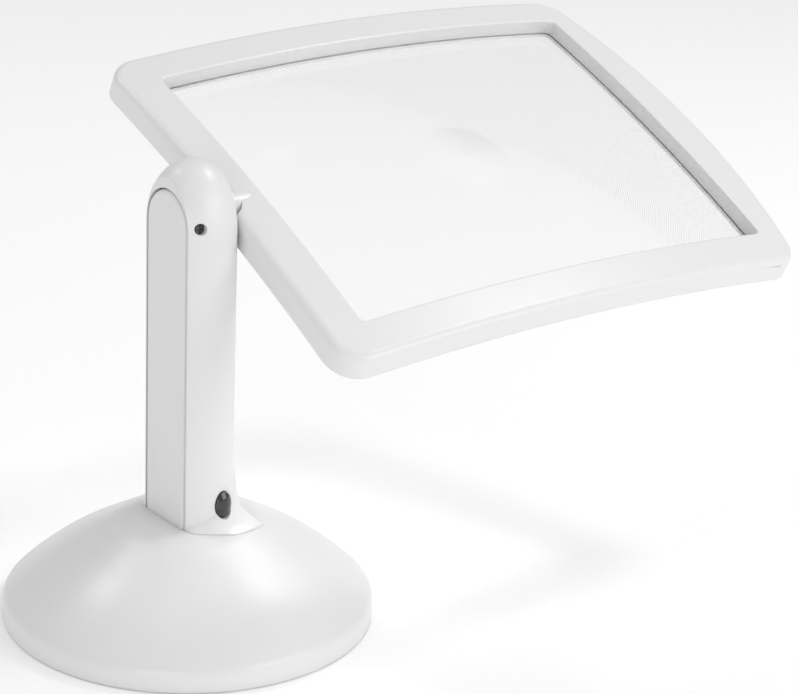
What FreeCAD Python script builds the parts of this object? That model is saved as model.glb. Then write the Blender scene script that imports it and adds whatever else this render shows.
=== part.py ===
import FreeCAD, Part
import math
import os
import Sketcher
from FreeCAD import Vector as V, Rotation, Placement

# Low vision magnifier: a weighted round stand, a post, and a tilting lens frame.
# Frame of the part: origin at the centre of the stand on the table, +X towards the
# lens frame along the tilt axis, +Z up, -Y the side that carries the push button.

doc = FreeCAD.newDocument("low_vision_magnifier")
sheet = doc.addObject("Spreadsheet::Sheet", "dims")
sheet.Label = "dims"
val = {}


def D(alias, value):
    """Put one driving dimension in the sheet and return its alias."""
    if alias not in val:
        n = len(val) + 1
        sheet.set("A%d" % n, alias)
        sheet.set("B%d" % n, "%.6g" % float(value))
        sheet.setAlias("B%d" % n, alias)
        val[alias] = float("%.6g" % float(value))
    return alias


def g(alias):
    return val[alias]


# ---------------------------------------------------------------- driving dimensions
for alias, value in [
        # base
        ("base_radius", 66.4), ("base_rim_low", 0.4), ("cover_wall", 2.2),
        ("cone_apex", 50.5), ("cone_drop", 0.56), ("cone_end_radius", 40.0),
        ("shoulder_radius", 5.0), ("cover_wire_hole", 6.0),
        ("plate_low", 1.4), ("plate_thick", 2.5), ("plate_gap", 0.3),
        # battery bay
        ("cell_radius", 7.1), ("cell_body", 49.2), ("cell_nub_radius", 2.75),
        ("cell_nub", 1.3), ("cell_pitch", 15.2), ("cell_axis_up", 11.4),
        ("bay_half_x", 22.9), ("bay_half_y", 28.6), ("bay_wall", 1.6), ("bay_top", 20.4),
        ("door_half_x", 23.2), ("door_half_y", 29.9), ("door_thick", 1.8), ("door_gap", 0.3),
        # ballast
        ("ballast_outer", 56.5), ("ballast_inner", 40.5), ("ballast_tall", 8.7),
        ("base_screw_ring", 48.5), ("pad_ring", 56.0), ("pad_radius", 6.0), ("pad_tall", 2.0),
        # post
        ("post_radius", 16.6), ("post_back", 9.8), ("post_front", 10.4), ("post_wall", 2.4),
        ("head_centre_up", 144.5), ("head_rise", 24.5), ("panel_face", 10.9),
        ("panel_half", 11.9), ("panel_thick", 2.5), ("panel_arch_up", 147.3), ("panel_gap", 0.5),
        ("seam_gap", 0.06),
        # hinge
        ("tilt_axis_up", 148.5), ("tilt_rest", 24.49), ("barrel_radius", 6.4),
        ("barrel_start", 10.3), ("barrel_end", 21.5), ("axle_radius", 2.75), ("axle_bore", 1.7),
        ("notch_radius", 8.8), ("notch_centre", 8.6),
        # lens frame
        ("dome_radius", 870.0), ("frame_crown", 11.5), ("frame_thick", 9.25),
        ("frame_left", 10.9), ("frame_right", 224.04), ("frame_half", 82.6),
        ("frame_corner", 12.0), ("frame_bulge", 9.53), ("frame_wall", 2.0),
        ("open_left", 25.96), ("open_right", 214.24), ("open_half", 67.47), ("open_corner", 2.5),
        ("inner_wall", 1.8), ("lens_drop", 5.94), ("lens_thick", 1.8), ("lens_lip", 2.7),
        ("cover_drop", 7.85), ("cover_inset", 2.25)]:
    D(alias, value)
doc.recompute()


def bind(obj, prop, alias):
    obj.setExpression(prop, "dims." + alias)


def place(obj, pos=(0, 0, 0), axis=None, angle=0.0):
    rot = Rotation(V(*axis), angle) if axis else Rotation()
    obj.Placement = Placement(V(*pos), rot)
    return obj


DIRS = {"+Z": None, "-Z": ((1, 0, 0), 180.0), "+X": ((0, 1, 0), 90.0), "-X": ((0, 1, 0), -90.0),
        "+Y": ((1, 0, 0), -90.0), "-Y": ((1, 0, 0), 90.0)}


def aim(obj, pos, way):
    d = DIRS[way]
    return place(obj, pos, d[0] if d else None, d[1] if d else 0.0)


def cyl(name, radius, tall, pos, way="+Z"):
    o = doc.addObject("Part::Cylinder", name)
    bind(o, "Radius", D(name + "_radius", radius) if not isinstance(radius, str) else radius)
    bind(o, "Height", D(name + "_tall", tall) if not isinstance(tall, str) else tall)
    return aim(o, pos, way)


def cone(name, r_low, r_high, tall, pos, way="+Z"):
    o = doc.addObject("Part::Cone", name)
    bind(o, "Radius1", D(name + "_low", r_low))
    bind(o, "Radius2", D(name + "_high", r_high))
    bind(o, "Height", D(name + "_tall", tall))
    return aim(o, pos, way)


def box(name, low, high):
    o = doc.addObject("Part::Box", name)
    for k, p in enumerate(("Length", "Width", "Height")):
        bind(o, p, D("%s_%s" % (name, p.lower()), high[k] - low[k]))
    return place(o, low)


def ball(name, radius, pos):
    o = doc.addObject("Part::Sphere", name)
    bind(o, "Radius", D(name + "_radius", radius))
    return place(o, pos, (1, 0, 0), 90.0)


def ellipsoid(name, flat, rise, pos):
    o = doc.addObject("Part::Ellipsoid", name)
    bind(o, "Radius1", D(name + "_rise", rise))
    bind(o, "Radius2", D(name + "_flat", flat))
    bind(o, "Radius3", D(name + "_flat", flat))
    o.Angle1 = -90
    o.Angle2 = 90
    return place(o, pos)


def cut(name, a, b):
    o = doc.addObject("Part::Cut", name)
    o.Base, o.Tool = a, b
    return o


def fuse(name, items):
    o = doc.addObject("Part::MultiFuse", name)
    o.Shapes = items
    o.Refine = True
    return o


def common(name, a, b):
    o = doc.addObject("Part::Common", name)
    o.Base, o.Tool = a, b
    return o


def arc_through(p, mid, q):
    """centre, radius and whether the arc p-mid-q runs counter-clockwise"""
    ax, ay, bx_, by_, cx_, cy_ = p[0], p[1], mid[0], mid[1], q[0], q[1]
    d = 2 * (ax * (by_ - cy_) + bx_ * (cy_ - ay) + cx_ * (ay - by_))
    ux = ((ax ** 2 + ay ** 2) * (by_ - cy_) + (bx_ ** 2 + by_ ** 2) * (cy_ - ay) + (cx_ ** 2 + cy_ ** 2) * (ay - by_)) / d
    uy = ((ax ** 2 + ay ** 2) * (cx_ - bx_) + (bx_ ** 2 + by_ ** 2) * (ax - cx_) + (cx_ ** 2 + cy_ ** 2) * (bx_ - ax)) / d
    return ux, uy, math.hypot(ax - ux, ay - uy), d > 0


def outline(sk, prefix, segs):
    """A closed loop of lines and arcs. Every corner is held by two sheet cells and every
    arc by its radius. segs: list of (start point, None or mid point of an arc)."""
    first = sk.GeometryCount
    n = len(segs)
    verts = []
    radii = []
    for k in range(n):
        p, mid = segs[k]
        q = segs[(k + 1) % n][0]
        if mid is None:
            sk.addGeometry(Part.LineSegment(V(p[0], p[1], 0), V(q[0], q[1], 0)), False)
            verts.append((1, 2))
            radii.append(None)
            continue
        ux, uy, r, ccw = arc_through(p, mid, q)
        a0 = math.atan2(p[1] - uy, p[0] - ux)
        a1 = math.atan2(q[1] - uy, q[0] - ux)
        if not ccw:
            a0, a1 = a1, a0
        if a1 < a0:
            a1 += 2 * math.pi
        sk.addGeometry(Part.ArcOfCircle(Part.Circle(V(ux, uy, 0), V(0, 0, 1), r), a0, a1), False)
        verts.append((1, 2) if ccw else (2, 1))
        half_turn = abs((a1 - a0) - math.pi) < 1e-3
        radii.append(None if half_turn else r)
    for k in range(n):
        k2 = (k + 1) % n
        sk.addConstraint(Sketcher.Constraint("Coincident", first + k, verts[k][1], first + k2, verts[k2][0]))
    for k in range(n):
        p, mid = segs[k]
        for ax, kind in ((0, "DistanceX"), (1, "DistanceY")):
            alias = D("%s_%s%d" % (prefix, "xy"[ax], k + 1), p[ax])
            c = sk.addConstraint(Sketcher.Constraint(kind, -1, 1, first + k, verts[k][0], g(alias)))
            if abs(g(alias)) > 1e-9:
                sk.setExpression("Constraints[%d]" % c, "dims." + alias)
        if radii[k] is not None:
            alias = D("%s_arc%d" % (prefix, k + 1), radii[k])
            c = sk.addConstraint(Sketcher.Constraint("Radius", first + k, g(alias)))
            sk.setExpression("Constraints[%d]" % c, "dims." + alias)
        elif mid is not None:
            # a half turn is held by its centre lying on the line between its ends
            q = segs[(k + 1) % n][0]
            ax = 1 if abs(q[0] - p[0]) > abs(q[1] - p[1]) else 0
            alias = D("%s_mid%d" % (prefix, k + 1), (p[ax] + q[ax]) / 2)
            c = sk.addConstraint(Sketcher.Constraint(("DistanceX", "DistanceY")[ax], -1, 1, first + k, 3, g(alias)))
            if abs(g(alias)) > 1e-9:
                sk.setExpression("Constraints[%d]" % c, "dims." + alias)
    if sk.solve() != 0:
        print("sketch", prefix, "solve", sk.solve())


def prism(name, loops, low, tall, way="+Z"):
    """Sketched outline pushed straight up: the sketch lies on a plane at height low."""
    sk = doc.addObject("Sketcher::SketchObject", name + "_outline")
    for k, segs in enumerate(loops):
        outline(sk, "%s_%s" % (name, "abc"[k]), segs)
    aim(sk, (0, 0, low) if way == "+Z" else low, way)
    o = doc.addObject("Part::Extrusion", name)
    o.Base = sk
    o.DirMode = "Normal"
    bind(o, "LengthFwd", D(name + "_tall", tall))
    o.Solid = True
    return o


def role_plane(body, role):
    return [f for f in body.Origin.OriginFeatures if f.Role == role][0]


def turned(name, segs, angle=360.0):
    """PartDesign body: a half section in the XZ plane revolved about Z."""
    body = doc.addObject("PartDesign::Body", name)
    body.Label = name
    sk = body.newObject("Sketcher::SketchObject", name + "_section")
    sk.AttachmentSupport = [(role_plane(body, "XZ_Plane"), "")]
    sk.MapMode = "FlatFace"
    outline(sk, name, segs)
    rev = body.newObject("PartDesign::Revolution", name + "_turn")
    rev.Profile = (sk, [""])
    rev.ReferenceAxis = (sk, ["V_Axis"])
    rev.Angle = angle
    doc.recompute()
    return body


def lines(pts):
    return [(p, None) for p in pts]


def rect(x0, y0, x1, y1, r=0.0):
    if r <= 0:
        return lines([(x0, y0), (x1, y0), (x1, y1), (x0, y1)])
    q = r * (1 - math.sqrt(0.5))
    return [((x0 + r, y0), None), ((x1 - r, y0), (x1 - q, y0 + q)),
            ((x1, y0 + r), None), ((x1, y1 - r), (x1 - q, y1 - q)),
            ((x1 - r, y1), None), ((x0 + r, y1), (x0 + q, y1 - q)),
            ((x0, y1 - r), None), ((x0, y0 + r), (x0 + q, y0 + q))]


def disc(cx, cy, r):
    return [((cx - r, cy), (cx, cy - r)), ((cx + r, cy), (cx, cy + r))]


# ---------------------------------------------------------------- base cover section
slope = math.atan(g("cone_drop"))
wall = g("cover_wall")
rad = g("base_radius")
ce = g("cone_end_radius")
ze = g("cone_apex") - g("cone_drop") * ce
sr = g("shoulder_radius")
q45 = math.sqrt(0.5)
x_sh = rad - sr * (1 - q45)
big = (x_sh - ce) / (q45 - math.sin(slope))
bx, bz = ce - big * math.sin(slope), ze - big * math.cos(slope)
z_sh = bz + big * q45
z_wall = z_sh - sr * q45


def on_big(r, ang):
    return (bx + r * math.sin(ang), bz + r * math.cos(ang))


# flat crown under the post, rolling over into the cone
top_z, roll = g(D("cover_crown_up", 37.9)), g(D("cover_crown_roll", 20.0))
r_meet = (g("cone_apex") - top_z) / g("cone_drop")
r_flat = r_meet - roll * math.tan(slope / 2)
r_cone = r_flat + roll * math.sin(slope)


def on_roll(r, ang):
    return (r_flat + r * math.sin(ang), top_z - roll + r * math.cos(ang))


def dome_z(r):
    """height of the cover's outside at radius r"""
    if r <= r_flat:
        return top_z
    if r <= r_cone:
        return top_z - roll + math.sqrt(roll ** 2 - (r - r_flat) ** 2)
    if r <= ce:
        return g("cone_apex") - g("cone_drop") * r
    return bz + math.sqrt(big ** 2 - (r - bx) ** 2)


def dome_inner_z(r):
    if r <= r_flat:
        return top_z - wall
    if r <= r_cone - wall * math.sin(slope):
        return top_z - roll + math.sqrt((roll - wall) ** 2 - (r - r_flat) ** 2)
    if r <= ce - wall * math.sin(slope):
        return g("cone_apex") - g("cone_drop") * r - wall / math.cos(slope)
    return bz + math.sqrt((big - wall) ** 2 - (r - bx) ** 2)


mid_ang = (slope + math.radians(45)) / 2
cx2, cz2 = rad - sr, z_wall
a22 = math.radians(22.5)
wh = g("cover_wire_hole")
low = g("base_rim_low")
ri = sr - wall
cover_section = [
    ((wh, dome_z(wh)), None),
    ((r_flat, top_z), on_roll(roll, slope / 2)),
    (on_roll(roll, slope), None),
    ((ce, ze), on_big(big, mid_ang)),
    ((x_sh, z_sh), (cx2 + sr * math.cos(a22), cz2 + sr * math.sin(a22))),
    ((rad, z_wall), None),
    ((rad, low), None),
    ((rad - wall, low), None),
    ((rad - wall, z_wall), (cx2 + ri * math.cos(a22), cz2 + ri * math.sin(a22))),
    ((cx2 + ri * q45, cz2 + ri * q45), on_big(big - wall, mid_ang)),
    (on_big(big - wall, slope), None),
    (on_roll(roll - wall, slope), on_roll(roll - wall, slope / 2)),
    ((r_flat, top_z - wall), None),
    ((wh, dome_inner_z(wh)), None),
]
cover_blank = turned("base_cover_blank", cover_section)
plate_top = g("plate_low") + g("plate_thick")

# solid dome up to the middle of the skin, used to trim the bosses that hang from the roof
roof_pts = [(0.0, 0.5), (60.0, 0.5)] + [(r, dome_z(r) - 1.1) for r in (60.0, 56.0, 52.0, 48.0, 44.0, 40.0, 27.0, 24.5, 22.0, 19.5, 17.2)] + [(0.0, top_z - 1.1)]
roof = turned("cover_roof", lines(roof_pts))
screw_ring = g("base_screw_ring")
boss_xy = [(screw_ring * math.cos(math.radians(a)), screw_ring * math.sin(math.radians(a))) for a in (45, 135, 225, 315)]
post_screw_xy = [(-5.6, -10.4), (2.0, 11.7)]
parts_list = []
holes = []
for k, (x, y) in enumerate(boss_xy):
    top = dome_inner_z(screw_ring) + 3.5
    parts_list.append(cyl("cover_boss_%d" % (k + 1), 3.6, top - plate_top, (x, y, plate_top)))
    holes.append(cyl("cover_pilot_%d" % (k + 1), 1.3, 11.0, (x, y, plate_top - 0.5)))
for k, (x, y) in enumerate(post_screw_xy):
    r = math.hypot(x, y)
    parts_list.append(cyl("cover_pad_%d" % (k + 1), 4.2, 10.0, (x, y, 32.7)))
    holes.append(cyl("cover_screw_hole_%d" % (k + 1), 1.7, 16.0, (x, y, 30.0)))
holes.append(cyl("cover_lead_hole", 5.0, 20.0, (0, 0, 30.0)))
holes.append(cyl("cover_lead_notch", 1.6, 20.0, (-6.3, 0, 30.0)))
cover_bosses = common("cover_boss_set", fuse("cover_boss_blanks", parts_list), roof)
base_cover = cut("base_cover", fuse("base_cover_solid", [cover_blank, cover_bosses]), fuse("base_cover_holes", holes))

# ---------------------------------------------------------------- base plate with the battery bay
pr = rad - wall - g("plate_gap")
plate = cyl("plate_disc", pr, "plate_thick", (0, 0, g("plate_low")))
bhx, bhy, bw, bt = g("bay_half_x"), g("bay_half_y"), g("bay_wall"), g("bay_top")
dhx, dhy, dg, dt = g("door_half_x"), g("door_half_y"), g("door_gap"), g("door_thick")
tub = box("bay_tub", (-bhx - bw, -bhy - bw - 0.9, g("plate_low")), (bhx + bw, bhy + bw + 0.9, bt))
ledge_z = g("plate_low") + dt + 0.1
tools = [box("bay_inside", (-bhx, -bhy, 0), (bhx, bhy, bt - bw)),
         box("door_opening", (-dhx - dg, -dhy - dg, 0), (dhx + dg, dhy + dg, ledge_z))]
for k, (x, y) in enumerate(boss_xy):
    tools.append(cyl("plate_screw_hole_%d" % (k + 1), 1.7, 10.0, (x, y, 0)))
    tools.append(cyl("plate_screw_sink_%d" % (k + 1), 3.2, g("plate_low") + 1.6, (x, y, 0)))
pad_xy = [(g("pad_ring") * math.cos(math.radians(a)), g("pad_ring") * math.sin(math.radians(a))) for a in (0, 90, 180, 270)]
for k, (x, y) in enumerate(pad_xy):
    tools.append(cyl("plate_pad_seat_%d" % (k + 1), g("pad_radius") + 0.2, g("pad_tall"), (x, y, 0)))
base_plate = cut("base_plate", fuse("base_plate_solid", [plate, tub]), fuse("base_plate_cuts", tools))

# battery door: flat lid with a finger dip at one end
lid = box("door_lid", (-dhx, -dhy, g("plate_low")), (dhx, dhy, g("plate_low") + dt))
dip = cyl("door_finger_dip", 7.0, 0.9, (0, dhy + 1.5, g("plate_low") - 0.01))
battery_door = cut("battery_door", lid, dip)

# ballast ring with clearance for the cover bosses
ring = turned("ballast_blank", lines([(g("ballast_inner"), plate_top + 0.05), (g("ballast_outer"), plate_top + 0.05),
                                      (g("ballast_outer"), plate_top + g("ballast_tall")),
                                      (g("ballast_inner"), plate_top + g("ballast_tall"))]))
ballast_ring = cut("ballast_ring", ring, fuse("ballast_holes", [
    cyl("ballast_hole_%d" % (k + 1), 4.2, 30.0, (x, y, 0)) for k, (x, y) in enumerate(boss_xy)]))

# anti-slip pads
door_pad = cyl("door_pad", "pad_radius", g("plate_low"), (0, 0, 0))
foot_pads = fuse("foot_pads", [cyl("foot_pad_%d" % (k + 1), "pad_radius", "pad_tall", (x, y, 0)) for k, (x, y) in enumerate(pad_xy)])


def screw(name, head_r, head_t, shank_r, shank_l, pos, way="+Z"):
    """pan head at pos, shank going away along way"""
    d = {"+Z": V(0, 0, 1), "-Z": V(0, 0, -1), "+Y": V(0, 1, 0), "-Y": V(0, -1, 0), "+X": V(1, 0, 0), "-X": V(-1, 0, 0)}[way]
    p = V(*pos)
    head = cyl(name + "_head", head_r, head_t, tuple(p), way)
    shank = cyl(name + "_shank", shank_r, shank_l + 0.2, tuple(p + d * (head_t - 0.2)), way)
    slot = box(name + "_slot", (-head_r, -0.35, 0), (head_r, 0.35, head_t * 0.5))
    slot2 = box(name + "_slot_across", (-0.35, -head_r, 0), (0.35, head_r, head_t * 0.5))
    cross = fuse(name + "_drive", [slot, slot2])
    aim(cross, tuple(p - d * 0.01), way)
    return cut(name, fuse(name + "_blank", [head, shank]), cross)


base_screws = fuse("base_screws", [screw("base_screw_%d" % (k + 1), 2.9, 1.5, 1.25, 10.5, (x, y, g("plate_low") + 0.1))
                                   for k, (x, y) in enumerate(boss_xy)])
post_screws = fuse("post_screws", [screw("post_screw_%d" % (k + 1), 2.9, 1.8, 1.45, 17.5, (x, y, 30.9))
                                   for k, (x, y) in enumerate(post_screw_xy)])

# ---------------------------------------------------------------- cells and contacts
cup, cbl = g("cell_axis_up"), g("cell_body")
cells, springs, contacts = [], [], []
for k, x in enumerate((-g("cell_pitch"), 0.0, g("cell_pitch"))):
    s = 1 if k != 1 else -1
    way = "+Y" if s > 0 else "-Y"
    y_nub = bhy - 0.4
    y_body = y_nub - g("cell_nub")
    start = s * (y_body - cbl)
    body = cyl("cell_body_%d" % (k + 1), "cell_radius", "cell_body", (x, start, cup), way)
    nub = cyl("cell_nub_%d" % (k + 1), "cell_nub_radius", g("cell_nub") + 0.3, (x, s * (y_body - 0.3), cup), way)
    cells.append(fuse("cell_%d" % (k + 1), [body, nub]))
    springs.append(cone("battery_spring_%d" % (k + 1), 4.6, 2.6, abs(-s * (bhy - 0.4) - start) - 0.05, (x, -s * (bhy - 0.4), cup), way))
    for j, yy in enumerate((bhy - 0.4, -bhy)):
        contacts.append(box("contact_%d_%d" % (k + 1, j + 1), (x - 5.5, yy, cup - 5.5), (x + 5.5, yy + 0.4, cup + 5.5)))
battery_cells = fuse("battery_cells", cells)
battery_springs = fuse("battery_springs", springs)
battery_contacts = fuse("battery_contacts", contacts)

# ---------------------------------------------------------------- post
pr_, pb, pf, pw = g("post_radius"), g("post_back"), g("post_front"), g("post_wall")
hc, hr = g("head_centre_up"), g("head_rise")
column = cyl("post_column", "post_radius", hc - 30.0, (0, 0, 30.0))
head = ellipsoid("post_head", pr_, hr, (0, 0, hc))
slab_box = box("post_flats", (-pf, -40, 20), (pb, 40, 190))
post_bar = common("post_bar", fuse("post_round", [column, head]), slab_box)
doc.recompute()
edges = []
for i, e in enumerate(post_bar.Shape.Edges):
    bb = e.BoundBox
    if bb.ZMin > 29.9 and bb.XLength < 0.01 and abs(bb.XMin - pb) < 0.01 and bb.ZMax > 31:
        edges.append((i + 1, 2.2, 2.2))
    elif bb.XLength < 0.01 and abs(bb.XMin + pf) < 0.01 and bb.ZMax > 31:
        edges.append((i + 1, 0.5, 0.5))
soft_bar = doc.addObject("Part::Fillet", "post_bar_soft")
soft_bar.Base = post_bar
soft_bar.Edges = edges
doc.recompute()
# flared foot: a turned concave skirt, trimmed front and back
skirt_x = g(D("foot_axis_x", 5.0))
skirt = turned("foot_skirt", [((0.0, 33.0), None), ((24.0, 33.0), None), ((23.4, 37.0), (18.9, 40.9)),
                              ((16.4, 46.6), None), ((13.5, 60.0), None), ((0.0, 60.0), None)])
skirt.Placement = Placement(V(skirt_x, 0, 0), Rotation())
side = prism("foot_side", [[((-pf, 33.0), None), ((23.5, 33.0), (15.2, 38.9)), ((11.0, 44.0), (10.1, 47.2)),
                            ((pb - 0.05, 51.0), None), ((pb - 0.05, 62.0), None), ((-pf, 62.0), None)]], (0, 40, 0), 80.0, "-Y")
# sketch drawn in X (right) and Z (up): laid against the XZ plane
foot_block = common("post_foot_block", skirt, side)
doc.recompute()
edges = []
for i, e in enumerate(foot_block.Shape.Edges):
    bb = e.BoundBox
    if bb.XLength < 0.01 and abs(bb.XMin + pf) < 0.01 and bb.ZLength > 4 and abs(e.valueAt((e.FirstParameter + e.LastParameter) / 2).y) > 5:
        edges.append((i + 1, 2.6, 2.6))
print("foot corner edges", len(edges), [round(foot_block.Shape.Edges[n - 1].BoundBox.ZMin, 1) for n, _, _ in edges])
edges = [t for t in edges if foot_block.Shape.Edges[t[0] - 1].BoundBox.ZMin < 46.0]
foot_soft = doc.addObject("Part::Fillet", "post_foot_soft")
foot_soft.Base = foot_block
foot_soft.Edges = edges
doc.recompute()
print("foot fillet", foot_soft.State, foot_soft.Shape.isNull() or foot_soft.Shape.isValid())
foot = foot_soft
outer = fuse("post_outer", [soft_bar, foot])
inner_round = fuse("post_inner_round", [cyl("post_cavity", pr_ - pw, hc - 20.0, (0, 0, 20.0)),
                                        ellipsoid("head_cavity", pr_ - pw, hr - pw, (0, 0, hc))])
inner = common("post_inner", inner_round, box("post_inner_flats", (-pf + 2.2, -40, 15), (pb - pw - 0.1, 40, 190)))
gap, ph, au = g("panel_gap"), g("panel_half"), g("panel_arch_up")


def arch(half, low_z, up):
    return [((-half, low_z), None), ((half, low_z), None), ((half, up), (0, up + half)), ((-half, up), None)]


# panel window: arch drawn in Y and Z, pushed along -X
def arch_prism(name, half, low_z, up, x_from, length):
    sk = doc.addObject("Sketcher::SketchObject", name + "_outline")
    outline(sk, name, arch(half, low_z, up))
    sk.Placement = Placement(V(x_from, 0, 0), Rotation(V(0, -1, 0), V(0, 0, 1), V(-1, 0, 0), "ZXY"))
    o = doc.addObject("Part::Extrusion", name)
    o.Base = sk
    o.DirMode = "Normal"
    bind(o, "LengthFwd", D(name + "_deep", length))
    o.Solid = True
    return o


window = arch_prism("panel_window", ph + gap, 20.0, au, -pf + 2.15, 30.0)
crown_line = [(r, dome_z(r) + g("seam_gap")) for r in (r_cone, 25.4, 23.8, 22.2, 20.6, 19.0, r_flat, 0.0)]
dome_core = turned("dome_core", lines([(0.0, 0.0), (60.0, 0.0), (60.0, dome_z(60)), (ce, ze + g("seam_gap"))] + crown_line))
ribs = [cyl("post_boss_%d" % (k + 1), 3.0, 26.0, (x, y, 36.0)) for k, (x, y) in enumerate(post_screw_xy)]
ribs.append(box("switch_rib", (-1.4, -3.9, 38.0), (pb - 1.0, -2.4, 53.0)))
shell0 = cut("post_hollow", outer, inner)
rib_trim = common("post_ribs", fuse("post_rib_set", ribs), outer)
shell1 = fuse("post_with_ribs", [shell0, rib_trim])
sw_x, sw_z = 2.9, 46.2
sx, sz = 3.15, 4.85


def oval_prism(name, a, b, y_from, length):
    """oval push button outline drawn in X and Z, pushed along -Y"""
    q = 0.70710678
    sk = doc.addObject("Sketcher::SketchObject", name + "_outline")
    pts = []
    for k in range(8):
        t0 = math.radians(45 * k)
        t1 = math.radians(45 * k + 22.5)
        pts.append(((sw_x + a * math.cos(t0), sw_z + b * math.sin(t0)), (sw_x + a * math.cos(t1), sw_z + b * math.sin(t1))))
    outline(sk, name, pts)
    aim(sk, (0, y_from, 0), "-Y")
    o = doc.addObject("Part::Extrusion", name)
    o.Base = sk
    o.DirMode = "Normal"
    bind(o, "LengthFwd", D(name + "_deep", length))
    o.Solid = True
    return o


tools = [window, dome_core,
         oval_prism("button_hole", sx + 0.2, sz + 0.2, -8.0, 25.0),
         cyl("bush_hole", 4.55, 6.0, (pb - 4.0, 0, g("tilt_axis_up")), "+X"),
         cyl("head_screw_hole", 1.3, 8.0, (-6.6, -8.0, 148.6), "-Y"),
         cyl("head_screw_sink", 2.0, 6.0, (-6.6, -13.2, 148.6), "-Y")]
tools += [cyl("post_pilot_%d" % (k + 1), 1.5, 22.0, (x, y, 34.0)) for k, (x, y) in enumerate(post_screw_xy)]
post_shell = cut("post_shell", shell1, fuse("post_cuts", tools))

# front panel
panel0 = arch_prism("panel_plate", ph, 30.0, au, -g("panel_face") + g("panel_thick"), g("panel_thick"))
doc.recompute()
edges = []
for i, e in enumerate(panel0.Shape.Edges):
    bb = e.BoundBox
    if abs(bb.XMin + g("panel_face")) < 0.01 and bb.XLength < 0.01 and bb.ZMax > 40:
        edges.append((i + 1, 1.7, 1.7))
panel1 = doc.addObject("Part::Fillet", "panel_soft")
panel1.Base = panel0
panel1.Edges = edges
lug = box("panel_lug", (-9.5, -11.0, 145.4), (-5.0, -7.6, 151.8))
panel2 = fuse("panel_body", [panel1, lug])
post_front_panel = cut("post_front_panel", panel2, fuse("panel_cuts", [
    cyl("panel_screw_hole", 1.15, 8.0, (-6.6, -7.0, 148.6), "-Y"),
    turned("dome_core_panel", lines([(0.0, 0.0), (50.0, 0.0), (50.0, dome_z(50)), (ce, ze + g("seam_gap"))] + crown_line))]))
panel_screw = screw("panel_screw", 1.75, 1.0, 1.1, 3.6, (-6.6, -14.2, 148.6), "+Y")

# ---------------------------------------------------------------- switch
# straight oval sides under a crowned top
btn = oval_prism("button_body", sx, sz, -13.1, 6.2)
crown = doc.addObject("Part::Ellipsoid", "button_crown")
bind(crown, "Radius1", D("button_crown_rise", 6.0))
bind(crown, "Radius2", D("button_crown_tall", 7.6))
bind(crown, "Radius3", D("button_crown_wide", 5.0))
crown.Angle1 = -90
crown.Angle2 = 90
crown.Placement = Placement(V(sw_x, -12.6, sw_z), Rotation(V(0, 0, 1), V(1, 0, 0), V(0, 1, 0), "ZXY"))
switch_button = common("switch_button", btn, crown)
switch_plunger = cyl("switch_plunger", 1.5, 5.0, (sw_x, -13.1, sw_z), "+Y")
switch_body = cut("switch_body", box("switch_block", (-1.2, -11.5, 39.3), (7.0, -3.95, 52.2)),
                  cyl("switch_block_hole", 1.56, 5.2, (sw_x, -11.6, sw_z), "+Y"))

# ---------------------------------------------------------------- lead inside the post
lead_r = 1.1
tz = g("tilt_axis_up")
path = [Part.LineSegment(V(-6.3, 0, 33.0), V(-6.3, 0, tz - 4.9)).toShape(),
        Part.Arc(V(-6.3, 0, tz - 4.9), V(-6.3 + 4.9 * (1 - q45), 0, tz - 4.9 * (1 - q45)), V(-1.4, 0, tz)).toShape()]
wire = Part.Wire(path)
lead_section = Part.Wire([Part.Circle(V(-6.3, 0, 33.0), V(0, 0, 1), g(D("lead_radius", lead_r))).toShape()])
post_lead = doc.addObject("Part::Feature", "post_lead")
post_lead.Shape = wire.makePipeShell([lead_section], True, True)
place(post_lead)

# ---------------------------------------------------------------- lens frame, drawn level about the tilt axis
FX, CR, SR_ = g("frame_left"), g("frame_crown"), g("dome_radius")
mid_x = 117.47


def dome_top(x, y):
    return CR - SR_ + math.sqrt(SR_ ** 2 - (x - mid_x) ** 2 - y ** 2)


def shellball(name, w):
    return ball(name, SR_ + w, (mid_x, 0, CR - SR_))


def slab(name, w_top, w_low, inside):
    """part of a prism between two curved levels, w measured up from the frame's top face"""
    a = common(name + "_under", inside, shellball(name + "_top", w_top))
    return cut(name, a, shellball(name + "_low", w_low)) if w_low is not None else a


def frame_outline(inset):
    left, right = FX + inset, g("frame_right") - inset
    half = g("frame_half") - inset
    r = max(g("frame_corner") - inset, 1.0)
    bulge_r = (g("frame_half") ** 2 + g("frame_bulge") ** 2) / (2 * g("frame_bulge"))
    bcx = g("frame_right") + g("frame_bulge") - bulge_r
    br = bulge_r - inset
    cy = half - r
    ccx = bcx + math.sqrt((br - r) ** 2 - cy ** 2)
    ang = math.atan2(cy, ccx - bcx)
    tx, ty = bcx + br * math.cos(ang), br * math.sin(ang)
    ma = (math.pi / 2 + ang) / 2
    mx, my = ccx + r * math.cos(ma), cy + r * math.sin(ma)
    q = r * (1 - q45)
    return [((left + r, -half), None), ((ccx, -half), (mx, -my)), ((tx, -ty), (bcx + br, 0.0)),
            ((tx, ty), (mx, my)), ((ccx, half), None), ((left + r, half), (left + q, half - q)),
            ((left, half - r), None), ((left, -half + r), (left + q, -half + q))]


def opening(grow, r=None):
    rr = g("open_corner") + grow if r is None else r
    return rect(g("open_left") - grow, -g("open_half") - grow, g("open_right") + grow, g("open_half") + grow, rr)


ZL, ZT = -30.0, 60.0
nc, nr = g("notch_centre"), g("notch_radius")
fw, ft = g("frame_wall"), g("frame_thick")
body_prism = cut("frame_blank", prism("frame_outer", [frame_outline(0.0), opening(0.0)], ZL, ZT),
                 cyl("frame_notch", "notch_radius", ZT, (nc, 0, ZL)))
body_slab = slab("frame_body", 0.0, -ft, body_prism)
doc.recompute()
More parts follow.
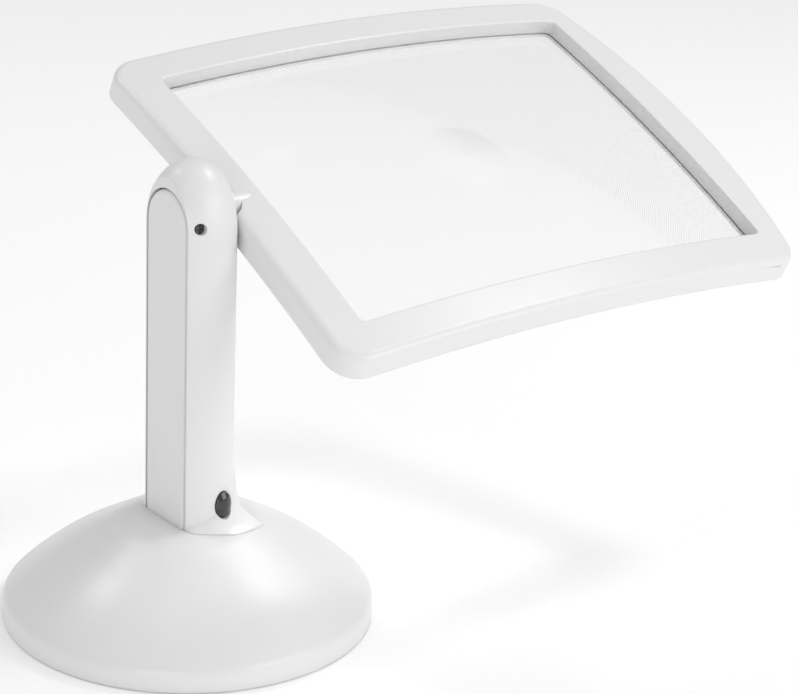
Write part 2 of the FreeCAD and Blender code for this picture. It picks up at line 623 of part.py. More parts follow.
# soften the upper outside edge all round
edges = []
for i, e in enumerate(body_slab.Shape.Edges):
    mid = e.valueAt((e.FirstParameter + e.LastParameter) / 2)
    if abs(mid.z - dome_top(mid.x, mid.y)) < 0.02:
        inside_open = (g("open_left") - 0.5 < mid.x < g("open_right") + 0.5) and abs(mid.y) < g("open_half") + 0.5
        in_notch = math.hypot(mid.x - nc, mid.y) < nr + 0.3
        if not inside_open and not in_notch:
            edges.append((i + 1, 3.0, 3.0))
        elif inside_open:
            edges.append((i + 1, 0.6, 0.6))
body_soft = doc.addObject("Part::Fillet", "frame_body_soft")
body_soft.Base = body_slab
body_soft.Edges = edges
doc.recompute()
print("frame fillet edges", len(edges), body_soft.State, body_soft.Shape.isValid() if not body_soft.Shape.isNull() else None)

cavity_prism = cut("frame_cavity_blank", prism("frame_cavity_plan", [frame_outline(fw), opening(g("inner_wall"))], ZL, ZT),
                   cyl("frame_cavity_notch", nr + fw, ZT, (nc, 0, ZL)))
cavity = slab("frame_cavity", -fw, -20.0, cavity_prism)
seat = slab("lens_seat", -g("lens_drop"), -20.0, prism("lens_seat_plan", [opening(g("lens_lip") + 0.3)], ZL, ZT))
cd = g("cover_drop")
frame_screw_xy = [(19.6, 74.1), (19.6, -74.1), (18.4, 23.0), (18.4, -23.0), (218.4, 74.4), (218.4, -74.4), (224.0, 0.0)]
split = 4.8
boss_tool = slab("frame_bosses", -1.0, -split, fuse("frame_boss_set", [
    cyl("frame_boss_%d" % (k + 1), 3.0, ZT, (x, y, ZL)) for k, (x, y) in enumerate(frame_screw_xy)]))
barrel = cyl("hinge_barrel", "barrel_radius", g("barrel_end") - g("barrel_start"), (g("barrel_start"), 0, 0), "+X")
top0 = cut("frame_top_hollow", body_soft, fuse("frame_hollows", [cavity, seat]))
top1 = fuse("frame_top_solid", [top0, boss_tool, barrel])
pilots = [cyl("frame_pilot_%d" % (k + 1), 1.0, 7.0 - 2.3, (x, y, dome_top(x, y) - 7.0)) for k, (x, y) in enumerate(frame_screw_xy)]
pilots.append(cyl("barrel_bore", g("axle_radius") + 0.03, 16.0, (g("barrel_start") - 1.0, 0, 0), "+X"))
lens_frame_top = cut("lens_frame_top", top1, fuse("frame_pilots", pilots))

# bottom cover with screw wells and LED window slots
ci = g("cover_inset")
cover_prism = cut("bottom_blank", prism("bottom_plan", [frame_outline(ci), opening(0.0)], ZL, ZT),
                  cyl("bottom_notch", nr + ci, ZT, (nc, 0, ZL)))
bottom_slab = slab("bottom_sheet", -cd, -ft, cover_prism)
well = slab("bottom_wells", -split - 0.05, -ft, fuse("bottom_well_set", [
    cyl("bottom_well_%d" % (k + 1), 3.5, ZT, (x, y, ZL)) for k, (x, y) in enumerate(frame_screw_xy)]))
led_x = [52.0 + 26.0 * k for k in range(6)]
slot_low, slot_high = 44.0, 190.0
tools = []
for s, nm in ((1, "far"), (-1, "near")):
    y0, y1 = sorted((s * 71.6, s * 78.2))
    tools.append(prism("window_slot_" + nm, [rect(slot_low, y0, slot_high, y1, 3.2)], ZL, ZT))
for k, (x, y) in enumerate(frame_screw_xy):
    zt = dome_top(x, y)
    tools.append(cyl("well_hole_%d" % (k + 1), 1.3, 20.0, (x, y, zt - 15.0)))
    tools.append(cyl("well_sink_%d" % (k + 1), 2.4, 20.0, (x, y, zt - 6.6 - 20.0)))
tools.append(cyl("bottom_barrel_clear", g("barrel_radius") + 0.12, 14.0, (8.0, 0, 0), "+X"))
lens_frame_bottom = cut("lens_frame_bottom", fuse("bottom_solid", [bottom_slab, well]), fuse("bottom_cuts", tools))

# clear sheet lens
fresnel_lens = slab("fresnel_lens", -g("lens_drop") - 0.02, -g("lens_drop") - g("lens_thick"),
                    prism("lens_plan", [opening(g("lens_lip"), 3.0)], ZL, ZT))

# light strips, lamps and their clear windows
strips, lamps, windows = [], [], []
for s, nm in ((1, "far"), (-1, "near")):
    y0, y1 = sorted((s * 71.0, s * 78.8))
    strips.append(slab("led_strip_" + nm, -2.05, -2.85, prism("led_strip_plan_" + nm, [rect(42.0, y0, 192.0, y1)], ZL, ZT)))
    y0, y1 = sorted((s * 71.8, s * 78.0))
    windows.append(slab("led_window_" + nm, -cd, -ft + 0.1, prism("led_window_plan_" + nm, [rect(slot_low + 0.2, y0, slot_high - 0.2, y1, 3.0)], ZL, ZT)))
    for k, x in enumerate(led_x):
        zt = dome_top(x, 74.9)
        lamps.append(cyl("lamp_%s_%d" % (nm, k + 1), 2.4, 2.6, (x, s * 74.9, zt - 3.2 - 2.6)))
led_strips = fuse("led_strips", strips)
led_windows = fuse("led_windows", windows)
leds = fuse("leds", lamps)
frame_screws = fuse("frame_screws", [screw("frame_screw_%d" % (k + 1), 2.1, 1.3, 0.95, 3.6, (x, y, dome_top(x, y) - 7.95))
                                     for k, (x, y) in enumerate(frame_screw_xy)])

# hinge hardware, drawn along X about the tilt axis
ar, ab = g("axle_radius"), g("axle_bore")
axle_l = 20.6 + 1.0
pivot_axle = cut("pivot_axle", cyl("axle_bar", "axle_radius", axle_l, (-1.0, 0, 0), "+X"), cyl("axle_hole", "axle_bore", axle_l + 2, (-2.0, 0, 0), "+X"))
friction_washer = cut("friction_washer", cyl("friction_disc", 6.2, 0.44, (pb + 0.03, 0, 0), "+X"), cyl("friction_hole", ar + 0.05, 2.0, (pb - 0.5, 0, 0), "+X"))
wave_washer = cut("wave_washer", cyl("wave_disc", 5.4, 0.6, (4.75, 0, 0), "+X"), cyl("wave_hole", ar + 0.1, 2.0, (4.2, 0, 0), "+X"))
hexr = 4.0 / math.cos(math.radians(30))
hex_prism = doc.addObject("Part::Prism", "nut_blank")
hex_prism.Polygon = 6
bind(hex_prism, "Circumradius", D("nut_corner_radius", hexr))
bind(hex_prism, "Height", D("nut_tall", 3.6))
aim(hex_prism, (1.1, 0, 0), "+X")
pivot_nut = cut("pivot_nut", hex_prism, cyl("nut_bore", ar + 0.02, 6.0, (0.0, 0, 0), "+X"))
bush0 = fuse("bush_solid", [cyl("bush_sleeve", 4.5, 4.2, (pb - 0.05 - 4.2, 0, tz), "+X"), cyl("bush_flange", 6.4, 1.6, (5.5, 0, tz), "+X")])
pivot_bush = cut("pivot_bush", bush0, cyl("bush_bore", ar + 0.07, 10.0, (3.0, 0, tz), "+X"))

stand = [base_cover, base_plate, ballast_ring, foot_pads, base_screws, battery_cells, battery_springs, battery_contacts,
         post_shell, post_front_panel, panel_screw, post_screws, switch_body, pivot_bush, post_lead]
others = [battery_door, door_pad, switch_button, switch_plunger]
tilting = [lens_frame_top, lens_frame_bottom, fresnel_lens, pivot_axle, friction_washer, wave_washer, pivot_nut,
           led_strips, leds, led_windows, frame_screws]
doc.recompute()
tilt = Placement(V(0, 0, tz), Rotation(V(1, 0, 0), g("tilt_rest")))
for o in tilting:
    o.Placement = tilt.multiply(o.Placement)
doc.recompute()

nodes = stand + others + tilting
bad = []
for o in doc.Objects:
    if "Invalid" in o.State or "Error" in o.State:
        bad.append("%s %s" % (o.Name, o.State))
for o in nodes:
    o.Label = o.Name
    if o.Shape.isNull() or not o.Shape.isValid():
        bad.append("shape of %s" % o.Name)
if bad:
    raise RuntimeError("; ".join(bad))
os.makedirs("parts", exist_ok=True)
for o in nodes:
    b = o.Shape.BoundBox
    print("%-20s solids %2d vol %9.1f  x %.1f..%.1f y %.1f..%.1f z %.1f..%.1f" % (
        o.Name, len(o.Shape.Solids), o.Shape.Volume, b.XMin, b.XMax, b.YMin, b.YMax, b.ZMin, b.ZMax))
    o.Shape.exportStep("parts/%s.step" % o.Name)
print("nodes", len(nodes))
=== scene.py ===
import math

import bpy
from mathutils import Matrix, Vector


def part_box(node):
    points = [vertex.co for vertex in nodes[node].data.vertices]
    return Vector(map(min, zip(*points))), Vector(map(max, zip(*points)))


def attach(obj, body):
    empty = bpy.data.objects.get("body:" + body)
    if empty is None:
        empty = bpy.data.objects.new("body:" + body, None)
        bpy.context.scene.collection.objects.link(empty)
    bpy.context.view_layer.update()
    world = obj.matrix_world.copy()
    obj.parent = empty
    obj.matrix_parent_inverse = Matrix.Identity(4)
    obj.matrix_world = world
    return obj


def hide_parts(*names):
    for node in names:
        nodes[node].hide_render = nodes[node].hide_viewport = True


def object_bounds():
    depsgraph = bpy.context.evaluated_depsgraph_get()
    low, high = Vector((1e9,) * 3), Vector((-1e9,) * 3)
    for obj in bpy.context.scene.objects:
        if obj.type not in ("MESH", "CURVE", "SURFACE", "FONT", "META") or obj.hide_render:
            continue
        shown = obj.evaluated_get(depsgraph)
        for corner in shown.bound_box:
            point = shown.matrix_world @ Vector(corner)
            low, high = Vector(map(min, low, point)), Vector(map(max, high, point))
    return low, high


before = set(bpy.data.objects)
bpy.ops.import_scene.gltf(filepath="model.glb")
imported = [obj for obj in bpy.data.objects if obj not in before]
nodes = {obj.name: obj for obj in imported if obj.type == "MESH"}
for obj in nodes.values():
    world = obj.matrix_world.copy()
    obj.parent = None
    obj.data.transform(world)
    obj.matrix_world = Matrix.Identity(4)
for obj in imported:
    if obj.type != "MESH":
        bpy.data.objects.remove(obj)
cad_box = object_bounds()
scene = bpy.context.scene

# ------------------------------------------------------------------ camera
cam_data = bpy.data.cameras.new("camera")
cam_data.lens = 117.99
cam_data.sensor_width = 36.0
cam_data.sensor_fit = "HORIZONTAL"
cam_data.dof.use_dof = False
cam_data.clip_start, cam_data.clip_end = 0.05, 30.0
cam = bpy.data.objects.new("camera", cam_data)
scene.collection.objects.link(cam)
fwd = Vector((0.58983, 0.73021, -0.34481)).normalized()
right = Vector((0.77791, -0.62837, 0.0)).normalized()
up = right.cross(fwd).normalized()
roll = math.radians(2.28)
rr = right * math.cos(roll) + up * math.sin(roll)
uu = -right * math.sin(roll) + up * math.cos(roll)
m = Matrix.Identity(4)
for i in range(3):
    m[i][0], m[i][1], m[i][2] = rr[i], uu[i], -fwd[i]
    m[i][3] = (-0.48028, -0.70967, 0.41732)[i]
cam.matrix_world = m
scene.camera = cam


# ------------------------------------------------------------------ node helpers
class Tree:
    """Short names for building a node material; every texture is in object space, in metres."""

    def __init__(self, name):
        self.mat = bpy.data.materials.new(name)
        self.mat.use_nodes = True
        self.nt = self.mat.node_tree
        self.nt.nodes.clear()
        self.out = self.add("ShaderNodeOutputMaterial")
        self.coord = self.add("ShaderNodeTexCoord").outputs["Object"]

    def add(self, kind, **props):
        n = self.nt.nodes.new(kind)
        for k, v in props.items():
            setattr(n, k, v)
        return n

    def wire(self, a, b):
        self.nt.links.new(a, b)

    def mapping(self, scale=(1, 1, 1), rot=(0, 0, 0)):
        n = self.add("ShaderNodeMapping")
        n.inputs["Scale"].default_value = scale
        n.inputs["Rotation"].default_value = rot
        self.wire(self.coord, n.inputs["Vector"])
        return n.outputs[0]

    def noise(self, scale, detail=3.0, rough=0.5, vec=None, distort=0.0):
        n = self.add("ShaderNodeTexNoise")
        n.inputs["Scale"].default_value = scale
        n.inputs["Detail"].default_value = detail
        n.inputs["Roughness"].default_value = rough
        n.inputs["Distortion"].default_value = distort
        self.wire(vec or self.coord, n.inputs["Vector"])
        return n.outputs[0]

    def voronoi(self, scale, feature="F1", vec=None):
        n = self.add("ShaderNodeTexVoronoi", feature=feature)
        n.inputs["Scale"].default_value = scale
        self.wire(vec or self.coord, n.inputs["Vector"])
        return n.outputs["Distance"]

    def ramp(self, value, stops):
        n = self.add("ShaderNodeValToRGB")
        e = n.color_ramp.elements
        while len(e) < len(stops):
            e.new(0.5)
        for i, (p, c) in enumerate(stops):
            e[i].position = p
            e[i].color = (c, c, c, 1) if isinstance(c, float) else (*c, 1)
        self.wire(value, n.inputs[0])
        return n.outputs[0]

    def remap(self, value, lo, hi, a=0.0, b=1.0):
        n = self.add("ShaderNodeMapRange")
        for k, v in zip(("From Min", "From Max", "To Min", "To Max"), (a, b, lo, hi)):
            n.inputs[k].default_value = v
        self.wire(value, n.inputs["Value"])
        return n.outputs[0]

    def math(self, op, a, b):
        n = self.add("ShaderNodeMath", operation=op)
        for i, v in enumerate((a, b)):
            if isinstance(v, (int, float)):
                n.inputs[i].default_value = v
            else:
                self.wire(v, n.inputs[i])
        return n.outputs[0]

    def mix(self, fac, a, b, blend="MIX"):
        n = self.add("ShaderNodeMix", data_type="RGBA", blend_type=blend)
        for i, v in ((0, fac), (6, a), (7, b)):
            if isinstance(v, (int, float)):
                n.inputs[i].default_value = v
            elif isinstance(v, tuple):
                n.inputs[i].default_value = (*v, 1)
            else:
                self.wire(v, n.inputs[i])
        return n.outputs[2]

    def bump(self, height, strength, distance, under=None):
        n = self.add("ShaderNodeBump")
        n.inputs["Strength"].default_value = strength
        n.inputs["Distance"].default_value = distance
        self.wire(height, n.inputs["Height"])
        if under is not None:
            self.wire(under, n.inputs["Normal"])
        return n.outputs[0]

    def bevel(self, radius, samples=4):
        n = self.add("ShaderNodeBevel", samples=samples)
        n.inputs["Radius"].default_value = radius
        return n.outputs[0]

    def crevice(self, distance, samples=6):
        n = self.add("ShaderNodeAmbientOcclusion", samples=samples)
        n.inputs["Distance"].default_value = distance
        return n.outputs["AO"]

    def principled(self, **values):
        n = self.add("ShaderNodeBsdfPrincipled")
        for k, v in values.items():
            s = n.inputs[k.replace("_", " ")]
            if isinstance(v, (int, float)):
                s.default_value = v
            elif isinstance(v, tuple):
                s.default_value = (*v, 1) if len(v) == 3 and s.type == "RGBA" else v
            else:
                self.wire(v, s)
        return n

    def done(self, shader):
        self.wire(shader.outputs[0], self.out.inputs["Surface"])
        return self.mat


def moulded(name, colour, crevice_shade_colour, rough=0.36, grain=1500.0, grain_up=0.05, edge=0.00035, coat=0.0, crevice_shade_strength=0.35, spec=0.5):
    """Injection moulded plastic: spark-eroded grain, uneven gloss, handling marks, and painted shade that darkens the
    colour in seams and recesses where ambient occlusion is found.
    """
    t = Tree(name)
    fine = t.noise(grain, 2.0, 0.6)
    cells = t.voronoi(grain * 0.72)
    skin = t.math("ADD", t.math("MULTIPLY", fine, 0.7), t.math("MULTIPLY", cells, 0.45))
    cloud = t.noise(22.0, 4.0, 0.55, distort=0.4)
    flow = t.noise(7.0, 2.0, 0.5, vec=t.mapping((1.0, 2.2, 5.0), (0.2, 0.1, 0.6)))
    marks = t.noise(260.0, 6.0, 0.72, vec=t.mapping((1.0, 0.12, 1.0), (0.4, 0.3, 0.7)))
    scratch = t.ramp(marks, [(0.0, 0.0), (0.66, 0.0), (0.72, 1.0)])
    tone = t.mix(t.ramp(cloud, [(0.3, 0.0), (0.75, 1.0)]), colour, tuple(c * k for c, k in zip(colour, (0.985, 0.983, 0.975))))
    tone = t.mix(t.remap(flow, 0.0, 0.35, 0.35, 0.75), tone, tuple(min(1.0, c * k) for c, k in zip(colour, (1.012, 1.01, 1.004))))
    speck = t.ramp(t.noise(900.0, 1.0, 0.4), [(0.0, 0.0), (0.76, 0.0), (0.80, 0.5)])
    tone = t.mix(speck, tone, tuple(c * 0.9 for c in colour))
    # painted shade: the colour is darkened towards the crevice colour wherever ambient occlusion finds seams and
    # recesses
    ao = t.crevice(0.0035)
    tone = t.mix(t.remap(ao, crevice_shade_strength, 0.0, 0.15, 0.9), tone, crevice_shade_colour)
    r = t.math("ADD", t.remap(cloud, rough - 0.05, rough + 0.07, 0.25, 0.8), t.math("MULTIPLY", scratch, 0.06))
    r = t.math("ADD", r, t.remap(ao, 0.18, 0.0, 0.1, 0.8))
    nrm = t.bump(skin, 0.6, grain_up * 0.001, t.bevel(edge) if edge else None)
    nrm = t.bump(flow, 0.15, 0.0004, nrm)
    b = t.principled(Base_Color=tone, Roughness=r, Normal=nrm, IOR=1.53, Specular_IOR_Level=spec, Coat_Weight=coat, Coat_Roughness=0.18)
    return t.done(b)


def metal(name, colour, worn, rough=0.3, brushed=(1, 1, 1), scale=900.0):
    t = Tree(name)
    streak = t.noise(scale, 5.0, 0.65, vec=t.mapping(brushed))
    cloud = t.noise(140.0, 3.0, 0.6)
    tone = t.mix(t.ramp(cloud, [(0.35, 0.0), (0.7, 1.0)]), colour, worn)
    r = t.math("ADD", t.remap(streak, rough - 0.08, rough + 0.12, 0.3, 0.7), t.remap(cloud, -0.04, 0.06, 0.3, 0.8))
    nrm = t.bump(streak, 0.35, 0.00003, t.bevel(0.0002))
    return t.done(t.principled(Base_Color=tone, Metallic=1.0, Roughness=r, Normal=nrm))


# ------------------------------------------------------------------ materials, one for each slot of the record
WHITE = (0.735, 0.74, 0.738)
mats = {}
mats["white_shell"] = moulded("white_shell_abs", WHITE, (0.42, 0.415, 0.40), rough=0.33)
mats["white_frame"] = moulded("white_frame_abs", (0.75, 0.755, 0.755), (0.45, 0.445, 0.43), rough=0.30, grain=1700.0, grain_up=0.035)
mats["white_panel"] = moulded("white_panel_abs", (0.735, 0.74, 0.74), (0.40, 0.395, 0.38), rough=0.38, grain=1300.0, grain_up=0.06)
mats["grey_plastic"] = moulded("grey_base_abs", (0.33, 0.335, 0.34), (0.16, 0.155, 0.15), rough=0.48, grain=1000.0, grain_up=0.12)
mats["black_button"] = moulded("black_button_gloss", (0.006, 0.006, 0.007), (0.02, 0.02, 0.02), rough=0.12, grain=2200.0, grain_up=0.004, edge=0.0001, coat=0.6, crevice_shade_strength=0.1, spec=0.6)
mats["black_plastic"] = moulded("black_switch_nylon", (0.02, 0.02, 0.021), (0.05, 0.05, 0.05), rough=0.42, grain=1400.0, grain_up=0.05)
mats["acetal"] = moulded("pivot_acetal", (0.72, 0.725, 0.71), (0.40, 0.39, 0.37), rough=0.28, grain=2400.0, grain_up=0.02)
mats["lead_jacket"] = moulded("lead_pvc", (0.05, 0.05, 0.055), (0.09, 0.09, 0.09), rough=0.42, grain=2600.0, grain_up=0.03)
mats["foam_rubber"] = moulded("foot_foam", (0.035, 0.036, 0.038), (0.10, 0.10, 0.095), rough=0.85, grain=700.0, grain_up=0.35, spec=0.25)
mats["steel_screw"] = metal("zinc_screw", (0.60, 0.61, 0.60), (0.42, 0.42, 0.40), 0.30)
mats["dark_screw"] = metal("blackened_screw", (0.06, 0.06, 0.062), (0.14, 0.135, 0.13), 0.38)
mats["nickel_contact"] = metal("nickel_spring", (0.66, 0.64, 0.60), (0.52, 0.50, 0.46), 0.22)
mats["brass_axle"] = metal("pivot_brass", (0.74, 0.56, 0.26), (0.55, 0.40, 0.19), 0.26, brushed=(12, 1, 1))


def iron():
    t = Tree("ballast_cast_iron")
    lumps = t.noise(420.0, 6.0, 0.7)
    rust = t.noise(55.0, 5.0, 0.6, distort=0.8)
    tone = t.mix(t.ramp(rust, [(0.5, 0.0), (0.68, 1.0)]), (0.075, 0.074, 0.072), (0.16, 0.075, 0.035))
    nrm = t.bump(lumps, 0.9, 0.0004)
    return t.done(t.principled(Base_Color=tone, Metallic=0.55, Roughness=t.remap(lumps, 0.55, 0.85), Normal=nrm))


def cell():
    """Printed shrink sleeve: dark body and a bright band near the raised end."""
    t = Tree("cell_sleeve")
    lo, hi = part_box("battery_cells")
    sep = t.add("ShaderNodeSeparateXYZ")
    t.wire(t.coord, sep.inputs[0])
    long_axis = max(range(3), key=lambda k: (hi - lo)[k])
    t_along = t.remap(sep.outputs[long_axis], 0.0, 1.0, lo[long_axis], hi[long_axis])
    band = t.ramp(t_along, [(0.0, 0.0), (0.70, 0.0), (0.705, 1.0)])
    body = t.mix(t.noise(900.0, 4.0, 0.6), (0.012, 0.03, 0.085), (0.018, 0.042, 0.11))
    copper = t.mix(t.noise(300.0, 3.0, 0.6), (0.62, 0.35, 0.16), (0.72, 0.44, 0.20))
    tone = t.mix(band, body, copper)
    nrm = t.bump(t.noise(500.0, 3.0, 0.5), 0.3, 0.00005)
    return t.done(t.principled(Base_Color=tone, Roughness=t.remap(t.noise(120.0), 0.18, 0.34), Metallic=0.25, Coat_Weight=0.5, Normal=nrm))


def lens():
    """Clear acrylic for the sheet; its concentric facets are cut into the underside by ring_lens, not by this
    material.
    """
    t = Tree("clear_acrylic_sheet")
    wear = t.noise(60.0, 6.0, 0.7, distort=0.5)
    fine = t.noise(1800.0, 2.0, 0.5)
    r = t.remap(wear, 0.0, 0.03, 0.45, 0.9)
    nrm = t.bump(fine, 0.05, 0.000004)
    b = t.principled(Base_Color=(0.985, 0.99, 0.99), Roughness=r, Transmission_Weight=1.0, IOR=1.49, Normal=nrm)
    clear = t.add("ShaderNodeBsdfTransparent")
    clear.inputs[0].default_value = (0.955, 0.96, 0.96, 1)
    path = t.add("ShaderNodeLightPath")
    mixer = t.add("ShaderNodeMixShader")
    t.wire(path.outputs["Is Shadow Ray"], mixer.inputs[0])
    t.wire(b.outputs[0], mixer.inputs[1])
    t.wire(clear.outputs[0], mixer.inputs[2])
    return t.done(mixer)


def window():
    t = Tree("lamp_window_opal")
    n = t.noise(1500.0, 2.0, 0.5)
    b = t.principled(Base_Color=(0.93, 0.935, 0.92), Roughness=t.remap(n, 0.28, 0.42), Transmission_Weight=0.75, IOR=1.49,
                     Normal=t.bump(n, 0.3, 0.00003))
    return t.done(b)


def board():
    """Lamp strip: white solder mask with fine copper runs under it."""
    t = Tree("lamp_strip_board")
    lines = t.add("ShaderNodeTexWave", wave_type="BANDS", bands_direction="Y")
    lines.inputs["Scale"].default_value = 130.0
    lines.inputs["Distortion"].default_value = 0.4
    t.wire(t.coord, lines.inputs["Vector"])
    tr = t.ramp(lines.outputs["Fac"], [(0.0, 0.0), (0.46, 0.0), (0.54, 1.0)])
    tone = t.mix(t.math("MULTIPLY", tr, 0.35), (0.78, 0.79, 0.77), (0.62, 0.60, 0.50))
    return t.done(t.principled(Base_Color=tone, Roughness=t.remap(t.noise(400.0), 0.34, 0.46), Normal=t.bump(tr, 0.4, 0.00004)))


def lamp():
    t = Tree("lamp_phosphor")
    n = t.noise(2600.0, 3.0, 0.6)
    tone = t.mix(n, (0.86, 0.78, 0.33), (0.93, 0.87, 0.50))
    return t.done(t.principled(Base_Color=tone, Roughness=t.remap(n, 0.22, 0.38), Subsurface_Weight=0.2, Subsurface_Scale=0.0006,
                               Normal=t.bump(n, 0.3, 0.00002)))


mats["iron_weight"] = iron()
mats["cell_wrap"] = cell()
mats["clear_lens"] = lens()
mats["window"] = window()
mats["light_strip"] = board()
mats["lamp"] = lamp()
for o in nodes.values():
    for s in o.material_slots:
        s.material = mats[s.material.name.split(".")[0]]

# ------------------------------------------------------------------ clear sheet: domed, with its concentric facets cut in the underside
TILT = Matrix.Translation((0.0, 0.0, 0.1485)) @ Matrix.Rotation(math.radians(24.49), 4, "X")


def facet(r, pitch=0.00090):
    """height of the facet relief at radius r from the optical centre"""
    part = r % pitch
    tall = 0.000003 + 0.000014 * min(r / 0.1, 1.0)
    wide = pitch - 0.00004
    return tall * (part / wide if part < wide else (pitch - part) / 0.00004)


def ring_lens():
    import bmesh
    pitch, spokes = 0.00090, 180
    cx, hx, hy = 0.1201, 0.0968, 0.0701
    radii = []
    for k in range(134):
        radii += [k * pitch + pitch - 0.00004, (k + 1) * pitch]
    bm = bmesh.new()
    hub = bm.verts.new((0, 0, 0))
    before = None
    for r in radii:
        ring = [bm.verts.new((r * math.cos(2 * math.pi * i / spokes), r * math.sin(2 * math.pi * i / spokes), 0)) for i in range(spokes)]
        for i in range(spokes):
            j = (i + 1) % spokes
            bm.faces.new((hub, ring[i], ring[j]) if before is None else (before[i], ring[i], ring[j], before[j]))
        before = ring
    for co, no in (((hx, 0, 0), (1, 0, 0)), ((-hx, 0, 0), (-1, 0, 0)), ((0, hy, 0), (0, 1, 0)), ((0, -hy, 0), (0, -1, 0)),
                   ((hx - 0.0015, hy - 0.0015, 0), (1, 1, 0)), ((hx - 0.0015, -hy + 0.0015, 0), (1, -1, 0)),
                   ((-hx + 0.0015, hy - 0.0015, 0), (-1, 1, 0)), ((-hx + 0.0015, -hy + 0.0015, 0), (-1, -1, 0))):
        bmesh.ops.bisect_plane(bm, geom=bm.verts[:] + bm.edges[:] + bm.faces[:], plane_co=co, plane_no=no, clear_outer=True)
    bm.verts.ensure_lookup_table()
    bm.verts.index_update()
    flat = [(v.co.x, v.co.y) for v in bm.verts]
    faces = [[v.index for v in f.verts] for f in bm.faces]
    rim = []
    for e in bm.edges:
        if len(e.link_loops) == 1:
            l = e.link_loops[0]
            rim.append((l.vert.index, l.link_loop_next.vert.index))
    bm.free()
    n = len(flat)

    def crown(x, y):
        return -0.870 + math.sqrt(0.870 ** 2 - x * x - y * y)

    lens_lo, lens_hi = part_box("fresnel_lens")
    # height of the sheet's top at its middle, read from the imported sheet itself
    inv = TILT.inverted()
    tops = [(inv @ v.co) for v in nodes["fresnel_lens"].data.vertices]
    mid = 0.11747
    lift = max(p.z - crown(p.x - mid, p.y) for p in tops)
    drop = min(p.z - crown(p.x - mid, p.y) for p in tops)
    top, low = [], []
    for x, y in flat:
        X = x + cx
        c = crown(X - mid, y)
        top.append(TILT @ Vector((X, y, lift + c)))
        low.append(TILT @ Vector((X, y, drop + c + facet(math.hypot(x, y)))))
    allf = [tuple(f) for f in faces]
    allf += [tuple(i + n for i in reversed(f)) for f in faces]
    allf += [(b, a, a + n, b + n) for a, b in rim]
    me = bpy.data.meshes.new("lens_sheet")
    me.from_pydata([tuple(p) for p in top + low], [], allf)
    me.update()
    me.polygons.foreach_set("use_smooth", [True] * len(me.polygons))
    me.set_sharp_from_angle(angle=math.radians(8))
    o = bpy.data.objects.new("lens_sheet", me)
    scene.collection.objects.link(o)
    me.materials.append(mats["clear_lens"])
    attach(o, "lens_frame")
    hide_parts("fresnel_lens")
    return o


ring_lens()


# ------------------------------------------------------------------ coil springs of the battery bay
def coils():
    pts = [v.co.copy() for v in nodes["battery_springs"].data.vertices]
    xs = sorted(p.x for p in pts)
    a, b = xs[0], xs[-1]
    for k in range(3):
        c = a + 0.0046 + (b - a - 0.0092) * k / 2
        mine = [p for p in pts if abs(p.x - c) < 0.0055]
        y0, y1 = min(p.y for p in mine), max(p.y for p in mine)
        cz = (min(p.z for p in mine) + max(p.z for p in mine)) / 2
        wide_low = max(abs(p.x - c) for p in mine if p.y < y0 + 1e-5) > max(abs(p.x - c) for p in mine if p.y > y1 - 1e-5)
        ya, yb = (y0, y1) if wide_low else (y1, y0)
        wire = 0.00032
        way = 1 if yb > ya else -1
        ya, yb = ya + way * wire, yb - way * wire
        cu = bpy.data.curves.new("battery_coil_%d" % (k + 1), "CURVE")
        cu.dimensions = "3D"
        cu.bevel_depth = wire
        cu.bevel_resolution = 3
        cu.resolution_u = 6
        sp = cu.splines.new("NURBS")
        turns, per = 6.0, 12
        count = int(turns * per) + 1
        sp.points.add(count - 1)
        for i in range(count):
            u = i / (count - 1)
            t = 2 * math.pi * turns * u
            along = 0.0 if u < 1 / turns else (u - 1 / turns) / (1 - 1 / turns)
            rad = 0.0042 - 0.0020 * along
            sp.points[i].co = (c + rad * math.cos(t), ya + (yb - ya) * along, cz + rad * math.sin(t), 1)
        sp.order_u = 3
        sp.use_endpoint_u = True
        cu.materials.append(mats["nickel_contact"])
        o = bpy.data.objects.new("battery_coil_%d" % (k + 1), cu)
        scene.collection.objects.link(o)
        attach(o, "stand")
        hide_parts("battery_springs")


coils()

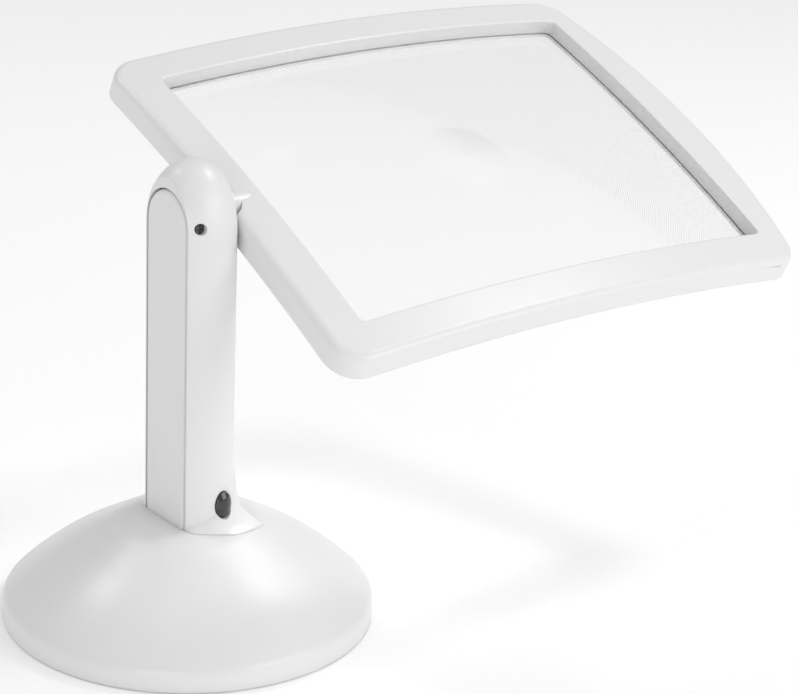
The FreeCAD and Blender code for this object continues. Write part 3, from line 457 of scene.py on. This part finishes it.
# ------------------------------------------------------------------ floor, light
lo, hi = cad_box
floor_mesh = bpy.data.meshes.new("floor")
s = 6.0
floor_mesh.from_pydata([(-s, -s, 0), (s, -s, 0), (s, s, 0), (-s, s, 0)], [], [(0, 1, 2, 3)])
floor = bpy.data.objects.new("floor", floor_mesh)
scene.collection.objects.link(floor)
t = Tree("floor_paper")
fibre = t.noise(600.0, 4.0, 0.6)
tone = t.mix(t.noise(1.5, 2.0), (0.95, 0.95, 0.95), (0.955, 0.955, 0.953))
floor_mesh.materials.append(t.done(t.principled(Base_Color=tone, Roughness=t.remap(fibre, 0.7, 0.85), Specular_IOR_Level=0.2,
                                                Emission_Color=(1.0, 1.0, 1.0), Emission_Strength=0.10,
                                                Normal=t.bump(fibre, 0.1, 0.00003))))
floor.location.z = lo.z - 0.00002

world = bpy.data.worlds.new("studio")
scene.world = world
world.use_nodes = True
world.node_tree.nodes["Background"].inputs[0].default_value = (1.0, 1.0, 1.0, 1)
world.node_tree.nodes["Background"].inputs[1].default_value = 0.60


def soft_light(name, at, aim_at, size, power, colour=(1, 1, 1)):
    d = bpy.data.lights.new(name, "AREA")
    d.shape = "RECTANGLE"
    d.size, d.size_y = size
    d.energy = power
    d.color = colour
    o = bpy.data.objects.new(name, d)
    o.location = at
    o.rotation_mode = "QUATERNION"
    o.rotation_quaternion = (Vector(aim_at) - Vector(at)).to_track_quat("-Z", "Y")
    scene.collection.objects.link(o)
    return o


AIM = Vector((0.05, 0.0, 0.09))


def lit(name, way, distance, size, share, colour=(1, 1, 1)):
    """A soft box in direction way; share is the light it gives beside a white sky of strength 1."""
    at = AIM + Vector(way).normalized() * distance
    soft_light(name, at, AIM, size, share * math.pi ** 2 * distance ** 2, colour)


lit("key", (0.56, -0.14, 0.81), 1.3, (0.26, 0.26), 0.21)
lit("back", (-0.31, 0.55, 0.78), 1.8, (0.36, 0.36), 0.10)
lit("front", (0.35, -0.88, 0.35), 2.2, (1.6, 1.2), 0.28)
lit("side", (-0.76, -0.60, 0.16), 2.2, (0.9, 0.9), 0.13)

scene.view_settings.view_transform = "Standard"
scene.view_settings.look = "None"
scene.view_settings.exposure = 0.0
scene.view_settings.gamma = 1.0
